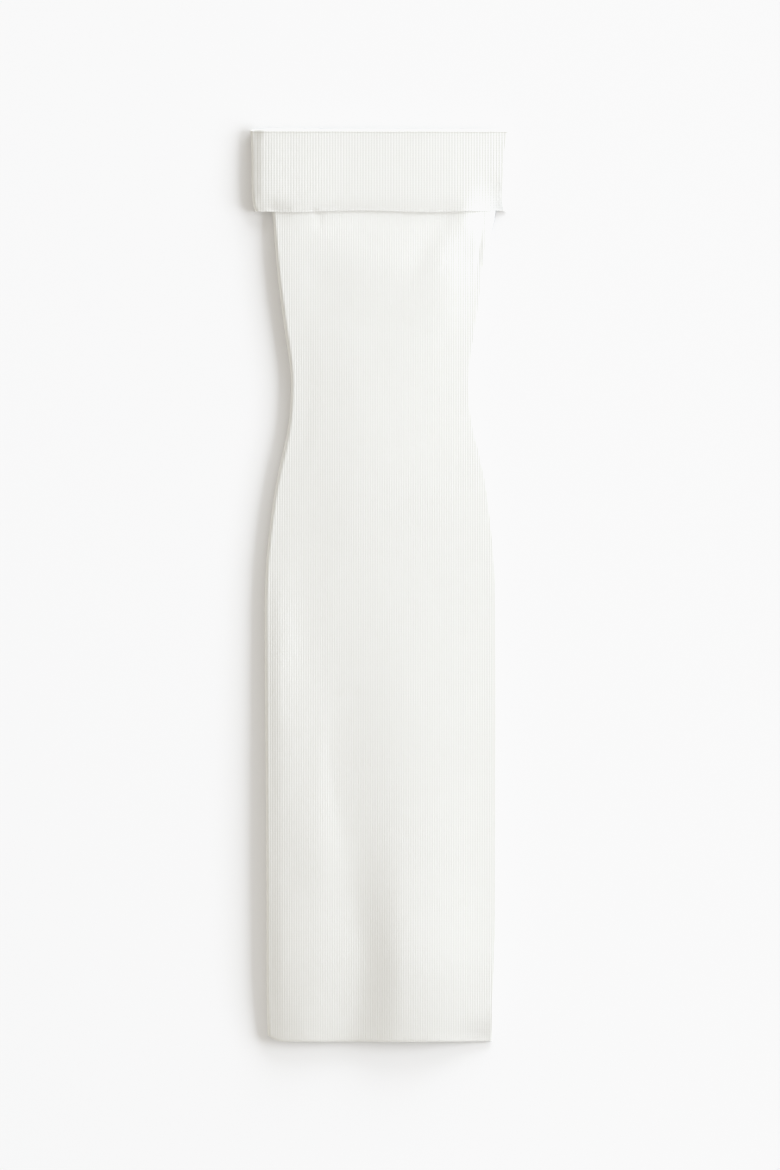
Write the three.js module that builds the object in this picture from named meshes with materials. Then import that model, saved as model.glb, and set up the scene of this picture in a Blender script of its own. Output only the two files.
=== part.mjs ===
// An off-shoulder dress in rib-knit, with a deep band turned down over its neckline, laid flat on its back.
// Millimetres. +X is to the right as the dress is looked down on, +Y runs from the hem to the neckline, +Z is
// up. The origin lies on the surface under the dress, below the middle of its outline.
//
// The dress is a flattened tube in four pieces of cloth: a front and a back, joined at the sides, and a
// front and a back band, joined to them just inside the top fold and to each other at the sides. Each piece
// is a wall with an outer skin and an inner skin. The front's and the front band's outer skins carry the ribs
// of the knitting. The underside lies on the surface and is plain.
import * as THREE from "three";

// Sizes of the dress
const LENGTH = 1150; // hem to top fold
const WALL = 2; // thickness of the cloth between its ribs
const GAP = 0.3; // between two pieces at a seam, and between two layers that touch
const RIB_PITCH = 3; // from one rib of the dress to the next
const BAND_RIB_PITCH = 3.5; // the same on the band, which the shoulders stretch
const RIB_HEIGHT = 0.6;
const RIBBED_HALF_WIDTH = 146; // ribs further out than this are hidden under the band

// The side edges of the front and back: half widths to the left and right of the centre line, up from the
// hem.
const SIDES = [
  { up: 0, left: 142.0, right: 141.5 },
  { up: 12, left: 142.4, right: 142.8 },
  { up: 60, left: 143.6, right: 145.2 },
  { up: 130, left: 143.7, right: 147.8 },
  { up: 210, left: 143.9, right: 149.0 },
  { up: 400, left: 145.2, right: 149.2 },
  { up: 500, left: 145.9, right: 149.2 },
  { up: 560, left: 145.8, right: 148.5 },
  { up: 607, left: 143.8, right: 146.6 },
  { up: 640, left: 140.6, right: 143.8 },
  { up: 683, left: 135.0, right: 139.0 },
  { up: 720, left: 128.4, right: 133.4 },
  { up: 758, left: 119.8, right: 125.0 },
  { up: 783, left: 115.4, right: 118.8 },
  { up: 809, left: 113.3, right: 115.0 },
  { up: 834, left: 113.0, right: 114.6 },
  { up: 859, left: 115.2, right: 116.6 },
  { up: 910, left: 122.6, right: 124.8 },
  { up: 960, left: 129.0, right: 130.6 },
  { up: 1010, left: 133.6, right: 136.6 },
  { up: 1043, left: 136.6, right: 144.4 },
  { up: 1133, left: 160.3, right: 158.9 },
];

// The side edges of the band.
const BAND_SIDES = [
  { up: 1046, left: 157.6, right: 159.8 },
  { up: 1054, left: 160.6, right: 156.8 },
  { up: 1074, left: 162.5, right: 157.2 },
  { up: 1124, left: 162.7, right: 161.0 },
  { up: 1148, left: 164.3, right: 164.3 },
];

// How the front lies, as heights above its side edges. It rolls up from its left edge, makes a soft flute and
// a dip, climbs to one long ridge right of the middle, and falls gently to its right edge. Each form but the
// roll has its place across and its height.
const ROLL = 18; // width of the roll along the left edge
const LIE = [
  { up: 0, roll: 1.0, flute: [-100, 1.2], dip: [-46, 0.3], ridge: [30, 1.9] },
  { up: 39, roll: 1.2, flute: [-98, 1.4], dip: [-38, 0.6], ridge: [30, 2.3] },
  { up: 107, roll: 1.2, flute: [-94, 1.4], dip: [-38, 0.8], ridge: [30, 2.4] },
  { up: 178, roll: 1.2, flute: [-84, 1.5], dip: [-42, 0.8], ridge: [28, 2.3] },
  { up: 228, roll: 1.1, flute: [-82, 1.6], dip: [-44, 0.8], ridge: [26, 2.2] },
  { up: 334, roll: 1.2, flute: [-82, 1.4], dip: [-57, 0.9], ridge: [19, 2.0] },
  { up: 405, roll: 1.3, flute: [-84, 1.2], dip: [-56, 1.0], ridge: [18, 1.7] },
  { up: 506, roll: 1.1, flute: [-95, 0.8], dip: [-60, 0.8], ridge: [15, 1.3] },
  { up: 607, roll: 0.8, flute: [-95, 0.8], dip: [-45, 1.1], ridge: [5, 1.2] },
  { up: 683, roll: 0.7, flute: [-90, 1.2], dip: [-40, 1.6], ridge: [10, 1.5] },
  { up: 809, roll: 0.8, flute: [-80, 1.2], dip: [-45, 1.4], ridge: [10, 1.2] },
  { up: 898, roll: 0.8, flute: [-85, 1.2], dip: [-50, 1.3], ridge: [20, 1.1] },
  { up: 966, roll: 0.7, flute: [-85, 1.0], dip: [-45, 1.2], ridge: [50, 1.2] },
  { up: 1016, roll: 0.3, flute: [-90, 0.4], dip: [-40, 0.5], ridge: [40, 0.3] },
  { up: 1040, roll: 0, flute: [-90, 0], dip: [-40, 0], ridge: [40, 0] },
];

// Creases in the front, each along a line from one point to another: half width and rise.
const FOLDS = [
  // a drag line from the right seam down and inwards under the band, with its hollow
  { x: 118, up: 1046, toX: 48, toUp: 976, half: 13, rise: 0.7 },
  { x: 96, up: 1040, toX: 26, toUp: 982, half: 14, rise: -0.5 },
  // a crease just inside the right seam
  { x: 131, up: 1040, toX: 113, toUp: 884, half: 5, rise: -0.8 },
];

// The rows at which the front and back are cut across.
const ROWS = [
  0, 15, 80, 170, 280, 400, 500, 575, 640, 700, 758, 796, 834, 885, 955, 1026, 1043, 1133,
];

// Heights of the layers
const BODY_SEAM = 3; // top edge of the back at the sides of the dress
const BAND_LAYER = WALL + GAP; // the back panel's underside where it lies on the back band
const BAND_SEAM = BAND_LAYER + WALL; // top edge of the back panel inside the band
const FRONT_LIFT = 0.2; // the front's inner skin is at least this far above its seam
const RAMP = { from: 1026, to: 1043 }; // where the back panel climbs on to the back band
// The underside of the front band lies just above the ribs of the front.
const FRONT_BAND_UNDER = BAND_SEAM + GAP + FRONT_LIFT + WALL + RIB_HEIGHT + GAP;
const EDGE = 4; // how far in from a side edge the cloth has turned flat
const BAND_EDGE = 4.5;

// The band
const PANEL_TOP = 1133; // where the front and back are seamed to the bands
const FOLD_START = LENGTH - BAND_SEAM / 2; // where the back band starts to turn over
const FRONT_FOLD_DROP = 2.6; // the front's fold is this much lower than the back's
const FOLD_TURN = [60, 120, 180].map(THREE.MathUtils.degToRad);

// The rows of a band's outer leg below the fold, and how far the front band stands off the dress there.
const BAND_ROWS = [
  { up: 1046, off: 0.9 },
  { up: 1050, off: 0.3 },
  { up: 1074, off: 0 },
  { up: 1124, off: 0 },
];

// The band's lower edge waves a little. The wave fades upwards.
const WAVE = { height: 1.0, length: 170, crestAt: -26, fade: 40 };

// The hem's left corner is drawn up.
const CORNER = { width: 20, rise: 8, fade: 45 };

// A smooth curve through points of a place and a value, read at any place.
function curve(points, at) {
  const last = points.length - 1;
  if (at <= points[0][0]) return points[0][1];
  if (at >= points[last][0]) return points[last][1];
  const i = points.findIndex(([place]) => place > at) - 1;
  const slope = (k) => {
    const low = points[Math.max(k - 1, 0)];
    const high = points[Math.min(k + 1, last)];
    return (high[1] - low[1]) / (high[0] - low[0]);
  };
  const [from, to] = [points[i], points[i + 1]];
  const span = to[0] - from[0];
  const t = (at - from[0]) / span;
  return (
    from[1] * (1 + 2 * t) * (1 - t) ** 2 +
    to[1] * t * t * (3 - 2 * t) +
    slope(i) * span * t * (1 - t) ** 2 +
    slope(i + 1) * span * t * t * (t - 1)
  );
}

// One named column of a table, read at a height.
const read = (table, name, up) => curve(table.map((row) => [row.up, row[name]]), up);

// How much a fold lifts the cloth at a place.
function foldRise(fold, x, up) {
  const run = new THREE.Vector2(fold.toX - fold.x, fold.toUp - fold.up);
  const here = new THREE.Vector2(x - fold.x, up - fold.up);
  const along = here.dot(run) / run.lengthSq();
  const across = here.cross(run) / run.length();
  const start = THREE.MathUtils.smoothstep(along, -0.1, 0.3);
  const end = THREE.MathUtils.smoothstep(along, 0.7, 1.1);
  return fold.rise * start * (1 - end) * Math.exp(-((across / fold.half) ** 2));
}

// How far the front stands above its side edges.
function lie(x, up) {
  const low = -(read(SIDES, "left", up) - EDGE);
  const high = read(SIDES, "right", up) - EDGE;
  const forms = ["flute", "dip", "ridge"].map((name) =>
    [0, 1].map((k) => curve(LIE.map((row) => [row.up, row[name][k]]), up)),
  );
  return curve([[low, 0], [low + ROLL, read(LIE, "roll", up)], ...forms, [high, 0]], x);
}

// Height of the front's inner skin.
function frontHeight(x, up) {
  const lowest = frontSeam(up) + FRONT_LIFT;
  const folds = FOLDS.reduce((sum, fold) => sum + foldRise(fold, x, up), 0);
  return Math.max(lowest + lie(x, up) + folds, lowest);
}

// How far the back panel has climbed on to the back band, from 0 to 1.
const climbed = (up) => THREE.MathUtils.clamp((up - RAMP.from) / (RAMP.to - RAMP.from), 0, 1);
const backHeight = (up) => BAND_LAYER * climbed(up);
const backSeam = (up) => THREE.MathUtils.lerp(BODY_SEAM, BAND_SEAM, climbed(up));
const frontSeam = (up) => backSeam(up) + GAP;

// The hem's left corner: how much higher up than its row a point lies.
function cornerLift(x, up) {
  const nearEdge = THREE.MathUtils.clamp((-x - SIDES[0].left + CORNER.width) / CORNER.width, 0, 1);
  const nearHem = THREE.MathUtils.clamp(1 - up / CORNER.fade, 0, 1);
  return CORNER.rise * nearEdge ** 2 * nearHem ** 2;
}

// Angles round a side edge, from the seam to the flat of the cloth.
const EDGE_TURN = [0, 30, 60].map(THREE.MathUtils.degToRad);

// The places across a skin. A ribbed skin has one at each crest and each valley. They keep their distance
// from the centre line, so that ribs run off at the side seams.
function across(halfWidth, pitch) {
  const count = Math.floor(halfWidth / (pitch / 2));
  return Array.from({ length: 2 * count + 1 }, (_, k) => ({
    x: (k - count) * (pitch / 2),
    crest: Math.abs(k - count) % 2 === 0,
  }));
}
const PLAIN = across(154, 44); // for the skins that carry no ribs
const RIBBED = across(RIBBED_HALF_WIDTH, RIB_PITCH);
const BAND_RIBBED = across(160, BAND_RIB_PITCH);

// One row of a skin: round the left edge, across the cloth and round the right edge. "inset" is 0 for an
// outer skin and the wall's thickness for an inner one. Places past the edges are gathered on to them.
function section({ left, right, edge, inset, seam, places, height, rib = 0 }) {
  const low = -(left - edge);
  const high = right - edge;
  const turn = (x, side) => (angle) => ({
    x: x + side * (edge - inset) * Math.cos(angle),
    z: seam + (height(x) - seam) * Math.sin(angle),
  });
  const flat = places.map(({ x, crest }) => {
    const at = THREE.MathUtils.clamp(x, low, high);
    return { x: at, z: height(at) + (crest && at === x ? rib : 0) };
  });
  const ends = [low, high].map((x) => ({ x, z: height(x) }));
  return [
    ...EDGE_TURN.map(turn(low, -1)),
    ends[0],
    ...flat,
    ends[1],
    ...EDGE_TURN.map(turn(high, 1)).reverse(),
  ];
}

const toPoint = (up) => ({ x, z }) => new THREE.Vector3(x, up + cornerLift(x, up) - LENGTH / 2, z);

// A row of the front or back panel.
function panelRow(side, skin, up, places) {
  const inner = skin === "inner";
  const front = side === "front";
  const height = front
    ? (x) => frontHeight(x, up) + (inner ? 0 : WALL)
    : () => backHeight(up) + (inner ? WALL : 0);
  return section({
    left: read(SIDES, "left", up),
    right: read(SIDES, "right", up),
    edge: EDGE,
    inset: inner ? WALL : 0,
    seam: front ? frontSeam(up) : backSeam(up),
    places,
    height,
    rib: front && !inner ? RIB_HEIGHT : 0,
  }).map(toPoint(up));
}

// How far up the wave moves a place on the band.
function waveRise(x, up) {
  const faded = THREE.MathUtils.clamp(1 - (up - BAND_ROWS[0].up) / WAVE.fade, 0, 1);
  return faded * WAVE.height * Math.cos((2 * Math.PI * (x - WAVE.crestAt)) / WAVE.length);
}

// A row of a band's outer leg, which shows. "off" lifts the front's off the dress.
function outerLeg(side, skin, up, off, places) {
  const inner = skin === "inner";
  const front = side === "front";
  const under = front ? FRONT_BAND_UNDER + off : 0;
  const onTop = front !== inner;
  return section({
    left: read(BAND_SIDES, "left", up),
    right: read(BAND_SIDES, "right", up),
    edge: BAND_EDGE,
    inset: inner ? WALL : 0,
    seam: front ? BAND_SEAM + GAP : BAND_SEAM,
    places,
    height: () => (onTop ? under + WALL : under),
    rib: front && !inner ? RIB_HEIGHT : 0,
  }).map(({ x, z }) => new THREE.Vector3(x, up + waveRise(x, up) - LENGTH / 2, z));
}

// A row of a band's inner leg, which hangs from the fold to the neckline seam. The cloth has turned over, so
// its ribbed skin faces the other panel.
function innerLeg(side, skin, up, left, right, places) {
  const front = side === "front";
  const turned = skin === "outer";
  const under = front ? BAND_SEAM + GAP : BAND_LAYER;
  const onTop = front !== turned;
  const narrowing = (left - EDGE) / (read(BAND_SIDES, "left", FOLD_START) - BAND_EDGE);
  return section({
    left,
    right,
    edge: EDGE,
    inset: turned ? WALL : 0,
    seam: front ? BAND_SEAM + GAP : BAND_SEAM,
    places: places.map(({ x }) => ({ x: x * narrowing, crest: false })),
    height: () => (onTop ? under + WALL : under),
  }).map(({ x, z }) => new THREE.Vector3(x, up - LENGTH / 2, z));
}

// All rows of a band's skin: up the outer leg, over the fold, and down the inner leg to its seam.
function bandRows(side, skin, places) {
  const foldAt = side === "front" ? FOLD_START - FRONT_FOLD_DROP : FOLD_START;
  const legs = BAND_ROWS.map(({ up, off }) => outerLeg(side, skin, up, off, places));
  const start = outerLeg(side, skin, foldAt, 0, places);
  const inside = ["left", "right"].map((name) => read(BAND_SIDES, name, FOLD_START) - BAND_LAYER);
  const end = innerLeg(side, skin, foldAt, ...inside, places);
  const fold = FOLD_TURN.map((angle) =>
    start.map((from, j) => {
      const middle = from.clone().add(end[j]).multiplyScalar(0.5);
      const half = from.clone().sub(end[j]).multiplyScalar(0.5);
      const out = new THREE.Vector3(0, half.length(), 0);
      return middle.addScaledVector(half, Math.cos(angle)).addScaledVector(out, Math.sin(angle));
    }),
  );
  const atSeam = ["left", "right"].map((name) => read(SIDES, name, PANEL_TOP));
  const seam = innerLeg(side, skin, PANEL_TOP + GAP, ...atSeam, places);
  return [...legs, start, ...fold, seam];
}

// Closes an outer and an inner skin into one wall. Both have the same number of rows, and each its own number
// of points across. Points that coincide are one vertex, and faces that they leave without an area are
// dropped. The outer skin faces up on the front of the dress and down on the back.
function wall(outer, inner, facesUp) {
  const positions = [];
  const faces = [];
  const known = new Map();
  const vertex = (point) => {
    const key = point.toArray().map((value) => value.toFixed(4)).join();
    if (!known.has(key)) {
      known.set(key, positions.length / 3);
      positions.push(...point.toArray());
    }
    return known.get(key);
  };
  const face = (turned, ...corners) => {
    const [a, b, c] = corners.map(vertex);
    if (a === b || b === c || c === a) return;
    faces.push(...(turned === facesUp ? [a, c, b] : [a, b, c]));
  };
  const skin = (rows, turned) => {
    for (let i = 0; i + 1 < rows.length; i++) {
      for (let j = 0; j + 1 < rows[i].length; j++) {
        const [a, b, c, d] = [rows[i][j], rows[i][j + 1], rows[i + 1][j + 1], rows[i + 1][j]];
        face(turned, a, b, c);
        face(turned, a, c, d);
      }
    }
  };
  // Joins two lines of points with triangles, going along whichever line lags behind.
  const rim = (a, b, turned, progress) => {
    let [i, j] = [0, 0];
    while (i + 1 < a.length || j + 1 < b.length) {
      const along = j + 1 >= b.length || (i + 1 < a.length && progress(a, i + 1) <= progress(b, j + 1));
      if (along) face(turned, a[i + 1], a[i++], b[j]);
      else face(turned, a[i], b[j], b[++j]);
    }
  };
  const byPlace = (line, k) => line[k].x;
  const byCount = (line, k) => k;
  skin(outer, false);
  skin(inner, true);
  rim(outer[0], inner[0], false, byPlace);
  rim(outer.at(-1), inner.at(-1), true, byPlace);
  rim(outer.map((row) => row[0]), inner.map((row) => row[0]), true, byCount);
  rim(outer.map((row) => row.at(-1)), inner.map((row) => row.at(-1)), false, byCount);
  const geometry = new THREE.BufferGeometry();
  geometry.setAttribute("position", new THREE.Float32BufferAttribute(positions, 3));
  geometry.setIndex(faces);
  geometry.computeVertexNormals();
  return geometry;
}

function piece(name, geometry, colour) {
  const cloth = new THREE.MeshStandardMaterial({ color: colour, roughness: 0.95, metalness: 0 });
  const mesh = new THREE.Mesh(geometry, cloth);
  mesh.name = name;
  return mesh;
}

function panel(side) {
  const places = side === "front" ? RIBBED : PLAIN;
  const outer = ROWS.map((up) => panelRow(side, "outer", up, places));
  const inner = ROWS.map((up) => panelRow(side, "inner", up, PLAIN));
  return wall(outer, inner, side === "front");
}

function band(side) {
  const places = side === "front" ? BAND_RIBBED : PLAIN;
  return wall(bandRows(side, "outer", places), bandRows(side, "inner", PLAIN), side === "front");
}

const OFF_WHITE = 0xf1f1ee;
const dress = new THREE.Group();
dress.name = "off_shoulder_dress";
dress.add(piece("front_panel", panel("front"), OFF_WHITE));
dress.add(piece("back_panel", panel("back"), OFF_WHITE));
dress.add(piece("front_band", band("front"), OFF_WHITE));
dress.add(piece("back_band", band("back"), OFF_WHITE));

export default dress;
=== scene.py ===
# %% [markdown]
# # An off-shoulder dress in rib knit, laid flat
#
# The real dress is a close-fitting tube of fine rib knit that ends at the calf. Round its neckline it has a
# deep band, turned down over the outside. It lies on its back, seen from straight above.
#
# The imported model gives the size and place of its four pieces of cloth. Here each of them becomes a thin
# shell with real ribs, soft folds and a knitted surface.

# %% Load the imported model
import math

import bpy
import numpy as np
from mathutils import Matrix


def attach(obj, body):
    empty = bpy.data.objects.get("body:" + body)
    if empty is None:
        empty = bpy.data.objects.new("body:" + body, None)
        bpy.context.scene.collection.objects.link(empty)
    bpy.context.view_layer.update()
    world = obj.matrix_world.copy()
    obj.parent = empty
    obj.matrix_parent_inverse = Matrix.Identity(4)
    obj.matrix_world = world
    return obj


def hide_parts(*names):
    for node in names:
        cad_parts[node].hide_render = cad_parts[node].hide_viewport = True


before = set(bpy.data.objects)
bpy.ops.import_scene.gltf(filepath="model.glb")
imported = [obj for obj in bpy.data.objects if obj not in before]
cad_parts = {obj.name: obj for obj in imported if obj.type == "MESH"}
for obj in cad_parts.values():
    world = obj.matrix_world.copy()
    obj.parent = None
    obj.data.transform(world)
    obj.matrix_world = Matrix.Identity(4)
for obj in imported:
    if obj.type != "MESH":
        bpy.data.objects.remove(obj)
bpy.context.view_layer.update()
print("pieces of the packed model:", ", ".join(sorted(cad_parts)))

# %% [markdown]
# ## The camera
#
# The picture is taken from straight above with a long lens, so the dress shows hardly any perspective. The
# lens follows from the height of the camera and from how much of the floor the picture takes in. That is
# known from the dress itself, which is as long as 911 of the picture's 1170 pixels.

# %% Camera
MM = 0.001
LENGTH = 1150.0  # top fold to hem, in millimetres, as are all sizes until the meshes are made
PICTURE = {"width": 780, "height": 1170}
DRESS_IN_PICTURE = {"top": 129.8, "bottom": 1041.0, "middle": 380.5}
PIXEL = LENGTH / (DRESS_IN_PICTURE["bottom"] - DRESS_IN_PICTURE["top"])
CAMERA_HEIGHT = 4500.0
SENSOR_HEIGHT = 24.0


def add_camera():
    """Looks straight down, with the picture's height of floor in view."""
    data = bpy.data.cameras.new("camera")
    data.sensor_fit = "VERTICAL"
    data.sensor_height = SENSOR_HEIGHT
    data.lens = SENSOR_HEIGHT * CAMERA_HEIGHT / (PICTURE["height"] * PIXEL)
    camera = bpy.data.objects.new("camera", data)
    middle_up = (DRESS_IN_PICTURE["top"] + DRESS_IN_PICTURE["bottom"]) / 2
    camera.location = (
        (PICTURE["width"] / 2 - DRESS_IN_PICTURE["middle"]) * PIXEL * MM,
        (middle_up - PICTURE["height"] / 2) * PIXEL * MM,
        CAMERA_HEIGHT * MM,
    )
    bpy.context.collection.objects.link(camera)
    bpy.context.scene.camera = camera
    return camera


camera = add_camera()
print(f"one pixel of the picture is {PIXEL:.3f} mm, and the lens is {camera.data.lens:.1f} mm")

# %% [markdown]
# ## The outline
#
# A dress laid flat is mostly outline. Each side edge is a short table: how far up from the hem, and how far
# out to the left and right of the centre line. A smooth curve through such a table gives every height in
# between, so a table needs only the places where the edge changes its direction.

# %% Outline of the dress and of its band
SIDES = [
    {"up": 0, "left": 142.0, "right": 141.5},
    {"up": 12, "left": 142.4, "right": 142.8},
    {"up": 60, "left": 143.6, "right": 145.2},
    {"up": 130, "left": 143.7, "right": 147.8},
    {"up": 210, "left": 143.9, "right": 149.0},
    {"up": 400, "left": 145.2, "right": 149.2},
    {"up": 500, "left": 145.9, "right": 149.2},
    {"up": 560, "left": 145.8, "right": 148.5},
    {"up": 607, "left": 143.8, "right": 146.6},
    {"up": 640, "left": 140.6, "right": 143.8},
    {"up": 683, "left": 135.0, "right": 139.0},
    {"up": 720, "left": 128.4, "right": 133.4},
    {"up": 758, "left": 119.8, "right": 125.0},
    {"up": 783, "left": 115.4, "right": 118.8},
    {"up": 809, "left": 113.3, "right": 115.0},
    {"up": 834, "left": 113.0, "right": 114.6},
    {"up": 859, "left": 115.2, "right": 116.6},
    {"up": 910, "left": 122.6, "right": 124.8},
    {"up": 960, "left": 129.0, "right": 130.6},
    {"up": 1010, "left": 133.6, "right": 136.6},
    {"up": 1043, "left": 136.6, "right": 144.4},
    {"up": 1133, "left": 160.3, "right": 158.9},
]
BAND_SIDES = [
    {"up": 1046, "left": 157.6, "right": 159.8},
    {"up": 1054, "left": 160.6, "right": 156.8},
    {"up": 1074, "left": 162.5, "right": 157.2},
    {"up": 1124, "left": 162.7, "right": 161.0},
    {"up": 1148, "left": 164.3, "right": 164.3},
]


def curve(places, values, at):
    """A smooth curve through a few points, read at one place or many."""
    places, values = np.array(places, float), np.array(values, float)
    at = np.clip(at, places[0], places[-1])
    before, after = np.r_[places[0], places[:-1]], np.r_[places[1:], places[-1]]
    low, high = np.r_[values[0], values[:-1]], np.r_[values[1:], values[-1]]
    slopes = (high - low) / (after - before)
    slopes[(values - low) * (high - values) < 0] = 0  # level where it turns
    i = np.clip(np.searchsorted(places, at, side="right") - 1, 0, len(places) - 2)
    span = places[i + 1] - places[i]
    t = (at - places[i]) / span
    return (
        values[i] * (1 + 2 * t) * (1 - t) ** 2
        + values[i + 1] * t * t * (3 - 2 * t)
        + slopes[i] * span * t * (1 - t) ** 2
        + slopes[i + 1] * span * t * t * (t - 1)
    )


def smooth(table, column, up):
    """One column of a table at one height."""
    return float(curve([row["up"] for row in table], [row[column] for row in table], up))


for place, up in (("hem", 0), ("hips", 450), ("waist", 834)):
    width = smooth(SIDES, "left", up) + smooth(SIDES, "right", up)
    print(f"{place}: {width:.0f} mm across")

# %% [markdown]
# ## How the layers lie
#
# Under the band five layers of cloth lie on each other: the back of the band, the back and front of the
# dress, and the front of the band. The numbers here are the heights of their skins above the floor. The
# cloth is a little over a millimetre thick, and its ribs stand out from that.

# %% Layers
CLOTH = 1.3
RIB_HEIGHT = 0.15
GAP = 0.2
CLEAR = 0.1  # least height of a skin above the one that it must not touch
BODY_SEAM = 2.5  # height of the side seam along the dress
BAND_LAYER = 2 * RIB_HEIGHT + CLOTH + GAP  # the back's ribs lie on the back of the band
BAND_SEAM = BAND_LAYER + CLOTH + CLEAR  # height of the side seams inside the band
CLIMB = {"from": 1018, "to": 1044}  # where the back climbs on to the back of the band
EDGE = 4.0  # how far in from a side edge the cloth has turned flat
BAND_EDGE = 4.5


def ease(t):
    """Goes smoothly from 0 to 1."""
    t = np.clip(t, 0, 1)
    return t * t * (3 - 2 * t)


def climbed(up):
    return ease((up - CLIMB["from"]) / (CLIMB["to"] - CLIMB["from"]))


def side_seam(side, up):
    height = BODY_SEAM + (BAND_SEAM - BODY_SEAM) * climbed(up)
    return height + (GAP if side == "front" else 0)


print(f"the back lies {BAND_LAYER:.2f} mm up inside the band, and its side seam {BAND_SEAM:.2f} mm")

# %% [markdown]
# ## How the front lies
#
# The front isn't flat. It rises from its left edge over a couple of centimetres, and falls gently to its
# right edge. In the skirt the cloth makes a soft flute on the left, sinks a little beside it, and climbs to
# one long ridge just right of the middle, which is highest near the hem. A cloth simulation wouldn't land
# on these few wide folds, so they are listed here. For some heights a row says where those forms are and
# how many millimetres they stand above the shoulders, where the cloth turns down to its side seams. A
# second table says how high the shoulders are, and a third gives each smaller crease a line, a width and a
# rise of its own.
#
# At a few corners the layers lie pressed together. There every height shrinks by the same share, so the
# layers stay in their order.

# %% Lie of the front
ROLL = 18.0  # width of the roll along the left edge
LIE = [
    {"up": 0, "roll": 1.5, "flute": (-95, 2.5), "dip": (-43, 0.9), "ridge": (26, 4.9)},
    {"up": 39, "roll": 1.9, "flute": (-92, 2.9), "dip": (-34, 1.3), "ridge": (28, 5.6)},
    {"up": 107, "roll": 2.0, "flute": (-84, 2.8), "dip": (-29, 1.7), "ridge": (28, 6.0)},
    {"up": 178, "roll": 1.7, "flute": (-82, 2.5), "dip": (-36, 1.4), "ridge": (27, 4.9)},
    {"up": 228, "roll": 1.5, "flute": (-80, 2.7), "dip": (-38, 1.7), "ridge": (27, 4.1)},
    {"up": 334, "roll": 1.5, "flute": (-80, 1.9), "dip": (-58, 1.3), "ridge": (25, 2.8)},
    {"up": 405, "roll": 1.5, "flute": (-80, 1.5), "dip": (-60, 1.3), "ridge": (22, 2.5)},
    {"up": 506, "roll": 1.1, "flute": (-97, 0.7), "dip": (-60, 1.0), "ridge": (17, 1.7)},
    {"up": 607, "roll": 0.4, "flute": (-95, 0.6), "dip": (-45, 1.1), "ridge": (-5, 1.2)},
    {"up": 683, "roll": 0.3, "flute": (-90, 0.7), "dip": (-30, 1.7), "ridge": (20, 1.5)},
    {"up": 759, "roll": 0.3, "flute": (-78, 0.9), "dip": (-20, 1.6), "ridge": (30, 1.3)},
    {"up": 809, "roll": 0.3, "flute": (-72, 0.8), "dip": (-22, 1.5), "ridge": (35, 1.1)},
    {"up": 898, "roll": 0.3, "flute": (-75, 0.8), "dip": (-30, 1.4), "ridge": (50, 1.4)},
    {"up": 966, "roll": 0.3, "flute": (-78, 0.5), "dip": (-25, 1.6), "ridge": (75, 2.0)},
    {"up": 1016, "roll": 0.4, "flute": (-90, 0.6), "dip": (-30, 0.8), "ridge": (70, 1.1)},
    {"up": 1046, "roll": 0.9, "flute": (-110, 1.2), "dip": (-35, 0.6), "ridge": (90, 0.4)},
]
SHOULDERS = [  # how high the edges themselves lie
    {"up": 0, "left": 5.6, "right": 5.2},
    {"up": 45, "left": 7.4, "right": 7.2},
    {"up": 107, "left": 8.6, "right": 8.6},
    {"up": 334, "left": 8.6, "right": 7.0},
    {"up": 562, "left": 7.5, "right": 5.4},
    {"up": 809, "left": 6.9, "right": 5.0},
    {"up": 966, "left": 7.3, "right": 4.8},
    {"up": 1016, "left": 6.9, "right": 4.9},
    {"up": 1046, "left": 5.3, "right": 5.3},
]
FOLDS = [
    # a drag line from the right seam down and inwards under the band, with its hollow
    {"from": (124, 1056), "to": (52, 966), "half": 13, "rise": 0.5},
    {"from": (100, 1052), "to": (30, 970), "half": 15, "rise": -0.5},
    # the crease just inside the right seam
    {"from": (131, 1050), "to": (122, 975), "half": 3.0, "rise": -0.4},
    # a small pucker under the band's edge
    {"from": (-88, 1050), "to": (-72, 1030), "half": 5, "rise": -0.5},
]
FOLD_ENDS = {"from": -0.1, "to": 0.7, "fade": 0.4}  # shares of a fold's length


def fold_rise(fold, x, up):
    """How much one fold lifts the cloth at these places."""
    (x0, up0), (x1, up1) = fold["from"], fold["to"]
    run, reach = np.array([x1 - x0, up1 - up0], float), math.hypot(x1 - x0, up1 - up0)
    along = ((x - x0) * run[0] + (up - up0) * run[1]) / reach**2
    across = ((x - x0) * run[1] - (up - up0) * run[0]) / reach
    begun = ease((along - FOLD_ENDS["from"]) / FOLD_ENDS["fade"])
    ended = ease((along - FOLD_ENDS["to"]) / FOLD_ENDS["fade"])
    return fold["rise"] * begun * (1 - ended) * np.exp(-((across / fold["half"]) ** 2))


def lie(x, up, left, right):
    """Height of the front without its smaller creases."""
    heights = [row["up"] for row in LIE]
    forms = {
        name: [float(curve(heights, [row[name][k] for row in LIE], up)) for k in (0, 1)]
        for name in ("flute", "dip", "ridge")
    }
    points = [(-left, 0), (-left + ROLL, smooth(LIE, "roll", up)), *forms.values(), (right, 0)]
    rise = curve([place for place, _ in points], [height for _, height in points], x)
    low, high = smooth(SHOULDERS, "left", up), smooth(SHOULDERS, "right", up)
    return low + (high - low) * np.clip((x + left) / (left + right), 0, 1) + rise


def front_top(x, up):
    """Height of the front's outer skin between its side edges."""
    left, right = smooth(SIDES, "left", up) - EDGE, smooth(SIDES, "right", up) - EDGE
    height = lie(x, up, left, right) + sum(fold_rise(fold, x, up) for fold in FOLDS)
    return np.maximum(height, side_seam("front", up) + CLOTH + CLEAR)


HEM_ROUND = {"over": 3.0, "thinner": 0.6}  # how far the hem's edge is rounded off, and how much it loses


def hem_round(up):
    """How much thinner each skin is at the very edge of the hem."""
    return HEM_ROUND["thinner"] * max(1 - up / HEM_ROUND["over"], 0) ** 2


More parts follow.
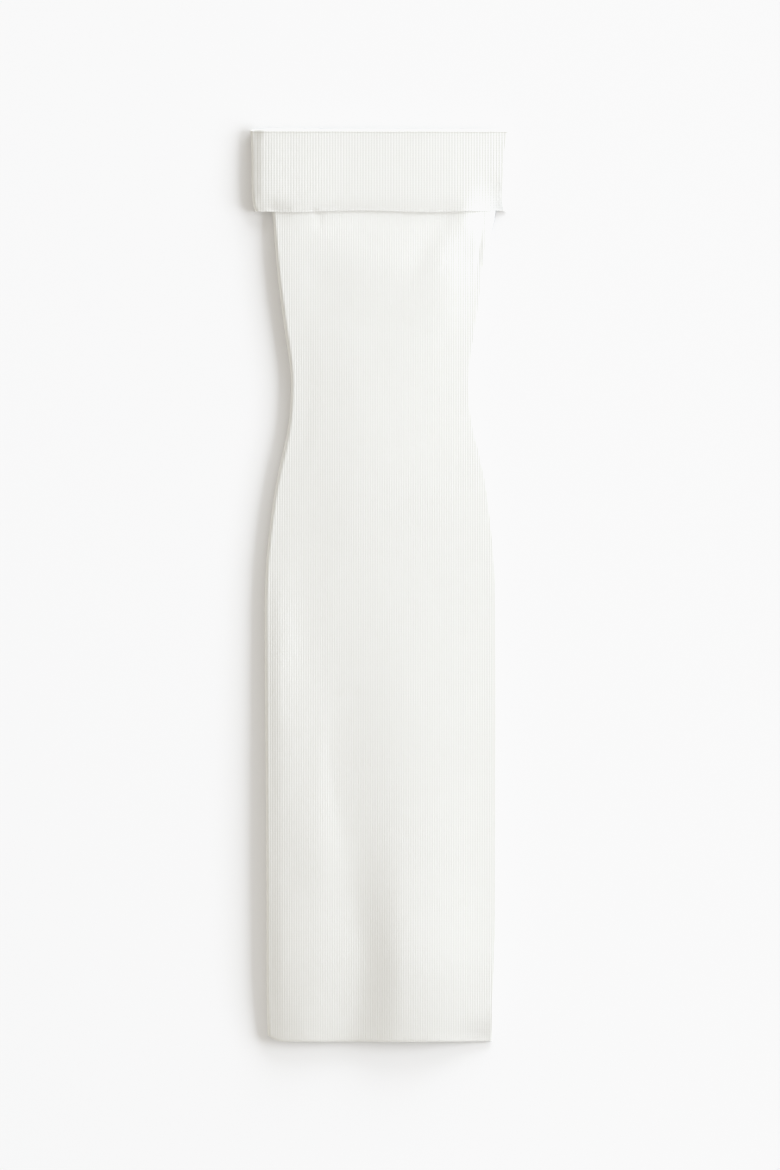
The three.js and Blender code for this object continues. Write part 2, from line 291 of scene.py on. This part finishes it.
PRESSED = [  # corners where all the layers are squeezed, and to what share of their height
    {"x": -164, "up": 1150, "reach": (20, 22), "to": 0.75},
    {"x": -158, "up": 1046, "reach": (16, 10), "to": 0.85},
    {"x": 164, "up": 1046, "reach": (64, 54), "to": 0.15},
    {"x": 152, "up": 0, "reach": (90, 32), "to": 0.45},
]


def pressed(points):
    """Squeezes every layer alike, so that none goes through another."""
    for corner in PRESSED:
        aside = (points[..., 0] - corner["x"]) / corner["reach"][0]
        along = (points[..., 1] + LENGTH / 2 - corner["up"]) / corner["reach"][1]
        points[..., 2] *= 1 - (1 - corner["to"]) * (1 - ease(np.hypot(aside, along)))
    return points


def body_skin(side, x, up, inner):
    """Height of one skin of the front or back."""
    inwards = CLOTH - hem_round(up) if inner else hem_round(up)
    if side == "front":
        return front_top(x, up) - inwards
    return RIB_HEIGHT + BAND_LAYER * climbed(up) + inwards + 0 * x


on_left, on_right = front_top(-60, 200), front_top(60, 200)
print(f"front at mid-skirt: {on_left:.1f} mm up on the left, {on_right:.1f} on the right")

# %% [markdown]
# ## Rows of cloth
#
# A knitted tube is made of wales, the upright columns of stitches that form its ribs. They keep their
# distance from each other, so where the dress narrows to the waist they run off at the side seams. Each row
# across the cloth is therefore measured along the cloth itself, from the centre line outwards, and wales
# that would lie past the seam gather on it.

# %% One row
RIB_PITCH = 3.0
RIBS_REACH = 176.0  # more than half of the widest row
POINTS_IN_RIB = {"front": 6, "back": 4}
TURN_STEPS = 10
FLAT_STEPS = 361
RIB_FADE = 2.5  # ribs flatten out over the last bit before a seam


def section(columns, left, right, edge, seam, height, inset):
    """One row: x, z and how full the ribs are, at distances along the cloth from its centre line."""
    turn = np.linspace(0, math.pi / 2, TURN_STEPS)[:-1]
    flat = np.linspace(edge - left, right - edge, FLAT_STEPS)
    top = height(flat)
    reach = edge - inset
    x = np.r_[flat[0] - reach * np.cos(turn), flat, flat[-1] + reach * np.cos(turn[::-1])]
    z = np.r_[
        seam + (top[0] - seam) * np.sin(turn),
        top,
        seam + (top[-1] - seam) * np.sin(turn[::-1]),
    ]
    along = np.r_[0, np.cumsum(np.hypot(np.diff(x), np.diff(z)))]
    along -= np.interp(0.0, x, along)
    at = np.clip(columns, along[0], along[-1])
    full = ease((at - along[0]) / RIB_FADE) * ease((along[-1] - at) / RIB_FADE)
    return np.interp(at, along, x), np.interp(at, along, z), full


def wales(pitch, points):
    """Distances from the centre line, a few in each rib."""
    count = int(RIBS_REACH / pitch * points)
    return np.arange(-count, count + 1) * pitch / points


def rib_profile(columns, pitch):
    """A rounded ridge in each pitch."""
    return 0.5 + 0.5 * np.cos(2 * math.pi * columns / pitch)


print("points across the front:", len(wales(RIB_PITCH, POINTS_IN_RIB["front"])))

# %% [markdown]
# ## From rows to a shell
#
# Each piece of cloth has an outer skin with ribs and an inner skin that is hidden and can be coarser. Both
# are grids of points. The mesh joins neighbouring points into faces, lifts the ribs along the outer skin's
# own slope, and closes the four rims between the two skins, so that each piece is one closed thin shell, as
# real cloth is.

# %% Grids and shells
def lift_ribs(grid, amount, sign):
    """Moves the points of a grid outwards along its normals."""
    across = np.gradient(grid, axis=1)
    upward = np.gradient(grid, axis=0)
    normal = sign * np.cross(across, upward)
    length = np.linalg.norm(normal, axis=2, keepdims=True)
    return grid + normal / np.maximum(length, 1e-9) * amount[..., None]


def quads(ids):
    corners = [ids[:-1, :-1], ids[:-1, 1:], ids[1:, 1:], ids[1:, :-1]]
    return np.stack(corners, axis=-1).reshape(-1, 4).tolist()


def stitch(top, bottom, progress_top, progress_bottom):
    """Triangles between two lines of points, going on along whichever line lags behind."""
    faces, i, j = [], 0, 0
    while i + 1 < len(top) or j + 1 < len(bottom):
        bottom_done = j + 1 == len(bottom)
        top_next = i + 1 < len(top) and (bottom_done or progress_top[i + 1] <= progress_bottom[j + 1])
        if top_next:
            faces.append([top[i], bottom[j], top[i + 1]])
            i += 1
        else:
            faces.append([top[i], bottom[j], bottom[j + 1]])
            j += 1
    return faces


def turned(faces):
    return [face[::-1] for face in faces]


def shell_faces(outer_ids, inner_ids, outer, inner):
    """All faces of a shell whose outer skin faces up."""
    rows = np.arange(len(outer_ids))
    faces = quads(outer_ids) + turned(quads(inner_ids))
    faces += stitch(outer_ids[0], inner_ids[0], outer[0, :, 0], inner[0, :, 0])
    faces += turned(stitch(outer_ids[-1], inner_ids[-1], outer[-1, :, 0], inner[-1, :, 0]))
    faces += turned(stitch(outer_ids[:, 0], inner_ids[:, 0], rows, rows))
    faces += stitch(outer_ids[:, -1], inner_ids[:, -1], rows, rows)
    return faces


def without_repeats(face):
    """A face without the corners that merged into their neighbours, or nothing if it has no area left."""
    kept = [corner for k, corner in enumerate(face) if corner != face[k - 1]]
    return kept if len(set(kept)) == len(kept) and len(kept) > 2 else None


SHARP = math.radians(60)  # edges that turn more than this stay sharp


def shell(name, side, outer, inner, outer_knit, inner_knit):
    """Makes one piece of cloth. The knit arrays count its ribs across and its stitches upwards."""
    points = np.concatenate([outer.reshape(-1, 3), inner.reshape(-1, 3)])
    knit = np.concatenate([outer_knit.reshape(-1, 2), inner_knit.reshape(-1, 2)])
    outer_ids = np.arange(outer[..., 0].size).reshape(outer.shape[:2])
    inner_ids = outer_ids.size + np.arange(inner[..., 0].size).reshape(inner.shape[:2])
    faces = shell_faces(outer_ids, inner_ids, outer, inner)
    points = pressed(points)
    places = np.round(points, 4)
    _, first, merged = np.unique(places, axis=0, return_index=True, return_inverse=True)
    merged = merged.ravel()
    faces = [without_repeats([int(merged[corner]) for corner in face]) for face in faces]
    faces = [face for face in faces if face]
    if side == "back":
        faces = turned(faces)
    mesh = bpy.data.meshes.new(name)
    mesh.from_pydata((points[first] * MM).tolist(), [], faces)
    mesh.attributes.new("knit", "FLOAT2", "POINT").data.foreach_set("vector", knit[first].ravel())
    mesh.polygons.foreach_set("use_smooth", [True] * len(mesh.polygons))
    mesh.set_sharp_from_angle(angle=SHARP)
    cloth = bpy.data.objects.new(name, mesh)
    bpy.context.collection.objects.link(cloth)
    triangles = sum(len(face) - 2 for face in faces)
    print(f"{name}: {triangles} triangles")
    return cloth


# %% [markdown]
# ## Front and back
#
# The front and back are cut alike and joined at the sides. Their rows lie close together at the hem, whose
# edge is rounded, and a stitch or two apart from there on. The hem's left corner is drawn up a little.

# %% The front and back of the dress
COURSE = 2.1  # from one row of stitches to the next
ROW_STEP = 8.6
CORNER = {"width": 20.0, "rise": 8.0, "fade": 45.0}
NECKLINE = 1133.0
HEM_ROWS = [0, 0.7, 1.6, 3.0, 7.0]
ROWS_IN_BAND = [1062, 1085, 1109, NECKLINE]
BODY_ROWS = np.r_[HEM_ROWS, np.arange(14.0, 1046.0, ROW_STEP), ROWS_IN_BAND]
INNER_STEP = 2  # ribs between two columns of an inner skin


def corner_rise(x, up):
    """How much the hem's left corner is drawn up."""
    near_edge = np.clip((-x - SIDES[0]["left"] + CORNER["width"]) / CORNER["width"], 0, 1)
    near_hem = max(1 - up / CORNER["fade"], 0)
    return CORNER["rise"] * near_edge**2 * near_hem**2


def body_grid(side, columns, inner):
    """One skin of the front or back as a grid, with how full its ribs are."""
    rows, fullness = [], []
    for up in BODY_ROWS:
        x, z, full = section(
            columns,
            smooth(SIDES, "left", up),
            smooth(SIDES, "right", up),
            EDGE,
            side_seam(side, up),
            lambda places: body_skin(side, places, up, inner),
            CLOTH if inner else 0,
        )
        rows.append(np.stack([x, up + corner_rise(x, up) - LENGTH / 2, z], axis=-1))
        fullness.append(full)
    return np.array(rows), np.array(fullness)


def knit_count(columns, pitch, along):
    """Ribs across and stitches upwards, for each point of a grid."""
    across, upward = np.meshgrid(columns / pitch, np.asarray(along) / COURSE)
    return np.stack([across, upward], axis=-1)


def make_body(side):
    points_in_rib = POINTS_IN_RIB[side]
    columns = wales(RIB_PITCH, points_in_rib)
    inner_columns = columns[:: points_in_rib * INNER_STEP]
    base, full = body_grid(side, columns, inner=False)
    inner, _ = body_grid(side, inner_columns, inner=True)
    ribs = RIB_HEIGHT * full * rib_profile(columns, RIB_PITCH)
    outer = lift_ribs(base, ribs, 1 if side == "front" else -1)
    return shell(
        f"{side}_cloth",
        side,
        outer,
        inner,
        knit_count(columns, RIB_PITCH, BODY_ROWS),
        knit_count(inner_columns, RIB_PITCH, BODY_ROWS),
    )


front_cloth = make_body("front")
back_cloth = make_body("back")

# %% [markdown]
# ## The turned-down band
#
# The band is knitted on at the neckline, which its top fold hides, and comes down over the outside. Seen
# from the side each half is a J upside down: an outer leg that shows, a fold, and a short inner leg that
# ends in the neckline seam. Its ribs are a little wider than those of the dress, because the shoulders are
# wider. The lower edge is thin and wavy. It comes down on to the dress, and flares a little at both ends.
# The top fold stands up as a fine bead.

# %% The band
BAND_PITCH = 3.5
FOLD_START = LENGTH - (BAND_SEAM - RIB_HEIGHT) / 2 - RIB_HEIGHT
FRONT_FOLD_DROP = 1.0
FOLD_STEPS = 7
BAND_UNDER = 5.6  # underside of the front band at its side edges
BAND_LIE = [(-148, 1.3), (-110, 1.4), (-35, 0.8), (90, 0.5)]  # how far it stands above its edges
EDGE_ROWS = [1046.4, 1046.9, 1047.8, 1049.2, 1051.5, 1055]
BEAD_ROWS = [1142.6, 1144.4, 1145.2, 1145.5, 1145.9, 1146.2]
BAND_ROWS = [*EDGE_ROWS, *np.arange(1060, 1139, 7.0), *BEAD_ROWS]
THIN_EDGE = {"thickness": 0.9, "fade": 12.0}  # the lower edge, and where the cloth is full again
SETTLE = 22.0  # over this height the band comes down on to the dress
BEAD = {"up": 1145.2, "width": 1.0, "rise": 0.25}  # the top fold stands a little above the rest
WAVE = {"height": 1.0, "length": 170.0, "crest": -26.0, "fade": 40.0}  # of the lower edge
FLARE = {"width": 26.0, "rise": 0.6, "fade": 20.0}  # of the lower edge's two ends


def wave_rise(x, up):
    """The lower edge waves a little, and the wave fades upwards."""
    fade = max(1 - (up - BAND_ROWS[0]) / WAVE["fade"], 0)
    return fade * WAVE["height"] * np.cos(2 * math.pi * (x - WAVE["crest"]) / WAVE["length"])


def band_skin(side, x, up, inner):
    """Height of one skin of the band's outer leg."""
    from_edge = up - BAND_ROWS[0]
    thin = max(1 - from_edge / THIN_EDGE["fade"], 0)
    thickness = CLOTH + (THIN_EDGE["thickness"] - CLOTH) * thin
    if side == "back":
        return RIB_HEIGHT + (thickness if inner else 0) + 0 * x
    left, right = smooth(BAND_SIDES, "left", up), smooth(BAND_SIDES, "right", up)
    points = [(-left + BAND_EDGE, 0), *BAND_LIE, (right - BAND_EDGE, 0)]
    rise = curve([place for place, _ in points], [height for _, height in points], x)
    end = np.clip(1 - np.minimum(x + left, right - x) / FLARE["width"], 0, 1) ** 2
    flare = FLARE["rise"] * end * max(1 - from_edge / FLARE["fade"], 0)
    on_dress = front_top(x, up) + RIB_HEIGHT
    under = on_dress + (BAND_UNDER + rise - on_dress) * ease(from_edge / SETTLE)
    bead = BEAD["rise"] * ease((up - BEAD["up"]) / BEAD["width"])
    return under + flare + (0 if inner else thickness + bead)


def band_leg(side, columns, up, inner):
    """A row of the outer leg."""
    x, z, full = section(
        columns,
        smooth(BAND_SIDES, "left", up),
        smooth(BAND_SIDES, "right", up),
        BAND_EDGE,
        BAND_SEAM + (GAP if side == "front" else 0),
        lambda places: band_skin(side, places, up, inner),
        CLOTH if inner else 0,
    )
    return np.stack([x, up + wave_rise(x, up) - LENGTH / 2, z], axis=-1), full


def band_inner_leg(side, columns, up, left, right, inner):
    """A row of the inner leg. The cloth has turned over, so its outer skin now faces the other panel."""
    under = BAND_SEAM + GAP if side == "front" else BAND_LAYER
    on_top = (side == "front") == inner
    narrowing = (left - EDGE) / (smooth(BAND_SIDES, "left", FOLD_START) - BAND_EDGE)
    x, z, _ = section(
        columns * narrowing,
        left,
        right,
        EDGE,
        BAND_SEAM + (GAP if side == "front" else 0),
        lambda places: under + (CLOTH if on_top else 0) + 0 * places,
        0 if inner else CLOTH,
    )
    return np.stack([x, np.full_like(x, up - LENGTH / 2), z], axis=-1)


def band_grid(side, columns, inner):
    """One skin of a half of the band: up the outer leg, over the fold and down to the neckline seam."""
    fold_at = FOLD_START - (FRONT_FOLD_DROP if side == "front" else 0)
    legs = [band_leg(side, columns, up, inner) for up in [*BAND_ROWS, fold_at]]
    rows = [points for points, _ in legs]
    full = [fullness for _, fullness in legs]
    inside = [smooth(BAND_SIDES, name, FOLD_START) - BAND_LAYER for name in ("left", "right")]
    start, end = rows[-1], band_inner_leg(side, columns, fold_at, *inside, inner)
    out = np.linalg.norm(start - end, axis=1)[:, None] / 2 * np.array([0.0, 1.0, 0.0])
    for angle in np.linspace(0, math.pi, FOLD_STEPS + 1)[1:]:
        rows.append((start + end) / 2 + (start - end) / 2 * math.cos(angle) + out * math.sin(angle))
        full.append(full[-1])
    seam = [smooth(SIDES, name, NECKLINE) for name in ("left", "right")]
    rows.append(band_inner_leg(side, columns, NECKLINE + GAP, *seam, inner))
    full.append(full[-1] * 0)
    return np.array(rows), np.array(full)


def make_band(side):
    points_in_rib = POINTS_IN_RIB[side]
    columns = wales(BAND_PITCH, points_in_rib)
    inner_columns = columns[:: points_in_rib * INNER_STEP]
    base, full = band_grid(side, columns, inner=False)
    inner, _ = band_grid(side, inner_columns, inner=True)
    ribs = RIB_HEIGHT * full * rib_profile(columns, BAND_PITCH)
    outer = lift_ribs(base, ribs, 1 if side == "front" else -1)
    middle = base[:, len(columns) // 2]
    along = np.r_[0, np.cumsum(np.linalg.norm(np.diff(middle, axis=0), axis=1))]
    print(f"{side} half of the band: {along[-1]:.0f} mm of cloth from edge to neckline seam")
    return shell(
        f"{side}_band_cloth",
        side,
        outer,
        inner,
        knit_count(columns, BAND_PITCH, along),
        knit_count(inner_columns, BAND_PITCH, along),
    )


front_band_cloth = make_band("front")
back_band_cloth = make_band("back")
CLOTHS = [front_cloth, back_cloth, front_band_cloth, back_band_cloth]

# %% [markdown]
# ## The knitted surface
#
# Close up, each rib is a chain of stitches shaped like a V, one above the other, in matt off-white yarn
# with a fine fuzz. The ribs themselves are in the mesh. The stitches are too small for that, so they are
# made in the material from two numbers that every point of the cloth carries: how many ribs it is from the
# centre line, and how many stitches up. The gaps between the stitches are painted a little darker, as
# painted shade. A little noise keeps the yarn from looking like plastic. Light also spreads a millimetre or
# two inside the yarn, which softens every small shadow.

# %% Rib knit material
YARN = (0.716, 0.711, 0.684, 1.0)
# the darker colour: wide uneven patches in the yarn, and painted shade in the gaps between the stitches
YARN_PATCHES_AND_PAINTED_SHADE = (0.66, 0.66, 0.625, 1.0)
LIGHT_DEPTH = 1.5  # millimetres that light spreads inside the yarn
STITCH_DEPTH = 0.05
SURFACE = {
    "Specular IOR Level": 0.25,
    "Sheen Weight": 0.12,
    "Sheen Roughness": 0.5,
    "Subsurface Weight": 0.6,
    "Subsurface Radius": (1.0, 1.0, 1.0),
    "Subsurface Scale": LIGHT_DEPTH * MM,
}
STITCH_LEAN = 0.9  # how steeply the legs of the V run
GROOVE = {"steepness": 9.0, "rounding": 0.3}  # between two ribs
FUZZ = {"scale": 1400.0, "relief": 0.35, "roughness": 0.12}
CLOUD = {"scale": 14.0, "shade": 0.10}  # wide uneven patches in the yarn
PAINTED_SHADE_BETWEEN_STITCHES = 0.16  # how much painted shade, in the darker colour, lies in the gaps between the stitches


def node(tree, kind, **sockets):
    """Adds a node, with values or links for its named inputs."""
    made = tree.nodes.new(kind)
    for name, value in sockets.items():
        socket = made.inputs[name.replace("_", " ")]
        if isinstance(value, bpy.types.NodeSocket):
            tree.links.new(value, socket)
        else:
            socket.default_value = value
    return made


def calculate(tree, operation, *values):
    """A math node whose inputs are numbers or other nodes' outputs."""
    made = tree.nodes.new("ShaderNodeMath")
    made.operation = operation
    for socket, value in zip(made.inputs, values):
        if isinstance(value, bpy.types.NodeSocket):
            tree.links.new(value, socket)
        else:
            socket.default_value = value
    return made.outputs[0]


def stitch_height(tree):
    """From 0 in the gaps between stitches to 1 on the yarn, for one V in each rib and course."""
    knit = tree.nodes.new("ShaderNodeAttribute")
    knit.attribute_name = "knit"
    parts = node(tree, "ShaderNodeSeparateXYZ", Vector=knit.outputs["Vector"])
    rib = calculate(tree, "FRACT", calculate(tree, "ADD", parts.outputs["X"], 0.5))
    aside = calculate(tree, "ABSOLUTE", calculate(tree, "SUBTRACT", rib, 0.5))
    lean = calculate(tree, "MULTIPLY", aside, STITCH_LEAN)
    phase = calculate(tree, "SUBTRACT", parts.outputs["Y"], lean)
    wave = calculate(tree, "SINE", calculate(tree, "MULTIPLY", phase, 2 * math.pi))
    legs = calculate(tree, "MULTIPLY_ADD", wave, 0.5, 0.5)
    slope = calculate(tree, "MULTIPLY", aside, GROOVE["steepness"])
    groove = calculate(tree, "SMOOTH_MIN", slope, 1.0, GROOVE["rounding"])
    return calculate(tree, "MULTIPLY", legs, groove)


def knit_material(name):
    made = bpy.data.materials.new(name)
    made.use_nodes = True
    tree = made.node_tree
    shader = tree.nodes["Principled BSDF"]
    place = tree.nodes.new("ShaderNodeTexCoord").outputs["Object"]
    height = stitch_height(tree)
    fuzz = node(tree, "ShaderNodeTexNoise", Vector=place, Scale=FUZZ["scale"], Detail=3.0)
    cloud = node(tree, "ShaderNodeTexNoise", Vector=place, Scale=CLOUD["scale"], Detail=2.0)
    # painted shade: the gaps between the stitches get more of the darker colour
    depth = calculate(tree, "SUBTRACT", 1.0, height)
    painted_stitch_shade = calculate(tree, "MULTIPLY", depth, PAINTED_SHADE_BETWEEN_STITCHES)
    shade = calculate(tree, "MULTIPLY_ADD", cloud.outputs["Fac"], CLOUD["shade"], -0.02)
    shade = calculate(tree, "ADD", shade, painted_stitch_shade)
    # the colour mixes the yarn's own uneven patches with the painted shade between the stitches
    colour = tree.nodes.new("ShaderNodeMix")
    colour.data_type = "RGBA"
    colour.inputs["A"].default_value = YARN
    colour.inputs["B"].default_value = YARN_PATCHES_AND_PAINTED_SHADE
    tree.links.new(shade, colour.inputs["Factor"])
    tree.links.new(colour.outputs["Result"], shader.inputs["Base Color"])
    relief = calculate(tree, "MULTIPLY_ADD", fuzz.outputs["Fac"], FUZZ["relief"], height)
    bump = node(tree, "ShaderNodeBump", Height=relief, Distance=STITCH_DEPTH * MM, Strength=0.8)
    tree.links.new(bump.outputs["Normal"], shader.inputs["Normal"])
    rough = calculate(tree, "MULTIPLY_ADD", fuzz.outputs["Fac"], FUZZ["roughness"], 0.84)
    tree.links.new(rough, shader.inputs["Roughness"])
    shader.subsurface_method = "RANDOM_WALK"
    for name, value in SURFACE.items():
        shader.inputs[name].default_value = value
    return made


rib_knit = knit_material("rib_knit_yarn")
for cloth in CLOTHS:
    cloth.data.materials.append(rib_knit)
print("materials:", rib_knit.name)

# %% [markdown]
# ## Floor and light
#
# The picture has broad soft light from the right, low enough to draw the folds and to throw a soft shadow
# to the left of the dress. A second light, lower still, comes from the top right and makes the long shadow
# below the hem. The rest of the room gives a warmer, even light. Three softboxes and the world do the same
# here, and a table says where each one stands. They are only a few metres away, so the near end of the
# dress gets more of their light than the far end, as in the picture. The paper under it was evened out for
# such a picture. Here that is done in the paper's paint, which gets a little darker towards the softboxes.

# %% Floor and lights
COOL = (0.945, 1.0, 1.09)
WARM = (1.0, 0.967, 0.905)
WIDE, TALL = (2.9, 1.15), (3.0, 2.6)  # sizes of softboxes in metres
LIGHTS = [  # a share is that of all light on the paper in the middle of the picture
    {"azimuth": 3.5, "elevation": 15.5, "size": WIDE, "power": 258.0, "colour": COOL, "share": 0.305},
    {"azimuth": 62.0, "elevation": 9.0, "size": WIDE, "power": 196.0, "colour": COOL, "share": 0.135},
    {"azimuth": 200.0, "elevation": 32.0, "size": TALL, "power": 47.0, "colour": WARM, "share": 0.12},
]
DISTANCE = 4.0  # metres from each softbox to the middle of the dress
ROOM = {"share": 0.43, "strength": 0.55}
FLOOR = {"half": 6.0, "drop": 0.0003, "colour": 0.75}  # metres, and a grey
PAINT_REACH = 1.2  # metres from the middle, beyond which the paint stays the same
FALLOFF = 2.7  # how fast a low light fades across the paper, as a power of its distance


def place_of(light):
    up, around = math.radians(light["elevation"]), math.radians(light["azimuth"])
    return tuple(
        DISTANCE * value
        for value in (math.cos(up) * math.cos(around), math.cos(up) * math.sin(around), math.sin(up))
    )


def vector(tree, operation, *values):
    """A vector math node, whose last input may be a single number to scale by."""
    made = tree.nodes.new("ShaderNodeVectorMath")
    made.operation = operation
    sockets = [made.inputs[0], made.inputs["Scale"] if operation == "SCALE" else made.inputs[1]]
    for socket, value in zip(sockets, values):
        if isinstance(value, bpy.types.NodeSocket):
            tree.links.new(value, socket)
        else:
            socket.default_value = value
    return made.outputs["Value" if operation == "DISTANCE" else "Vector"]


def light_on_paper(tree, place, light):
    """How strongly one light falls on each place, and in which colour."""
    reach = vector(tree, "DISTANCE", place, place_of(light))
    strength = calculate(tree, "POWER", calculate(tree, "DIVIDE", DISTANCE, reach), FALLOFF)
    colour = tuple(light["share"] * value for value in light["colour"])
    return vector(tree, "SCALE", colour, strength)


def floor_paint():
    """Pale grey that evens out what the lights leave uneven."""
    paint = bpy.data.materials.new("pale_floor")
    paint.use_nodes = True
    tree = paint.node_tree
    shader = tree.nodes["Principled BSDF"]
    place = tree.nodes.new("ShaderNodeTexCoord").outputs["Object"]
    place = vector(tree, "MINIMUM", place, (PAINT_REACH,) * 3)
    place = vector(tree, "MAXIMUM", place, (-PAINT_REACH,) * 3)
    total = tuple(ROOM["share"] * value for value in WARM)
    for light in LIGHTS:
        total = vector(tree, "ADD", total, light_on_paper(tree, place, light))
    grey = vector(tree, "DIVIDE", (FLOOR["colour"],) * 3, total)
    tree.links.new(grey, shader.inputs["Base Color"])
    shader.inputs["Roughness"].default_value = 1.0
    shader.inputs["Specular IOR Level"].default_value = 0.0
    return paint


def add_floor():
    mesh = bpy.data.meshes.new("floor")
    half, z = FLOOR["half"], -FLOOR["drop"]
    corners = [(-half, -half, z), (half, -half, z), (half, half, z), (-half, half, z)]
    mesh.from_pydata(corners, [], [(0, 1, 2, 3)])
    mesh.materials.append(floor_paint())
    floor = bpy.data.objects.new("floor", mesh)
    bpy.context.collection.objects.link(floor)
    return floor


def add_softbox(name, light):
    """A large soft light that looks at the middle of the dress."""
    data = bpy.data.lights.new(name, "AREA")
    data.shape = "RECTANGLE"
    data.size, data.size_y = light["size"]
    data.energy = light["power"]
    data.color = light["colour"]
    softbox = bpy.data.objects.new(name, data)
    softbox.location = place_of(light)
    turn = math.pi / 2 - math.radians(light["elevation"])
    softbox.rotation_euler = (turn, 0, math.pi / 2 + math.radians(light["azimuth"]))
    bpy.context.collection.objects.link(softbox)
    return softbox


def light_room():
    world = bpy.data.worlds.new("room")
    world.use_nodes = True
    sky = world.node_tree.nodes["Background"]
    sky.inputs["Color"].default_value = (*WARM, 1.0)
    sky.inputs["Strength"].default_value = ROOM["strength"]
    bpy.context.scene.world = world


BRIGHTEST = 0.957  # nothing in the picture is lighter than this
HIGHLIGHTS = [(0.90, 0.90), (0.945, 0.943), (0.97, BRIGHTEST - 0.004)]  # light that comes in, light shown


def soften_highlights():
    """Keeps the lightest rims from burning out, as the picture does."""
    view = bpy.context.scene.view_settings
    view.view_transform = "Standard"
    view.use_curve_mapping = True
    combined = view.curve_mapping.curves[3]
    for light, shown in HIGHLIGHTS:
        combined.points.new(light, shown)
    combined.points[-1].location = (1.0, BRIGHTEST)
    view.curve_mapping.extend = "HORIZONTAL"
    view.curve_mapping.update()


floor = add_floor()
softboxes = [add_softbox(f"softbox_{number}", light) for number, light in enumerate(LIGHTS)]
light_room()
soften_highlights()
for softbox in softboxes:
    print(softbox.name, "at", [round(value, 2) for value in softbox.location], "m")

# %% [markdown]
# ## Tie the cloth to the imported model
#
# Each piece of cloth stands for one solid of the imported model, which is hidden, and moves with the
# dress's one body.

# %% Tie to the frame
def flat_area(table, low, high):
    """Area between the two side edges of a table, in square metres."""
    heights = np.linspace(low, high, 400)
    widths = [smooth(table, "left", up) + smooth(table, "right", up) for up in heights]
    return float(np.mean(widths)) * (high - low) * MM * MM


BODY_CUT = (0.302, 1.133)
BAND_CUT = (0.330, 0.122)
body_area = flat_area(SIDES, 0, NECKLINE)
PARTS = [
    (front_cloth, "front_panel", BODY_CUT, body_area, ["back_cloth", "back_band_cloth"]),
    (back_cloth, "back_panel", BODY_CUT, body_area, ["back_band_cloth"]),
    (front_band_cloth, "front_band", BAND_CUT, None, ["front_cloth"]),
    (back_band_cloth, "back_band", BAND_CUT, None, []),
]
for cloth, solid, cut, area, below in PARTS:
    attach(cloth, "root")
    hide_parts(solid)
print(f"front and back: {body_area:.3f} square metres each")
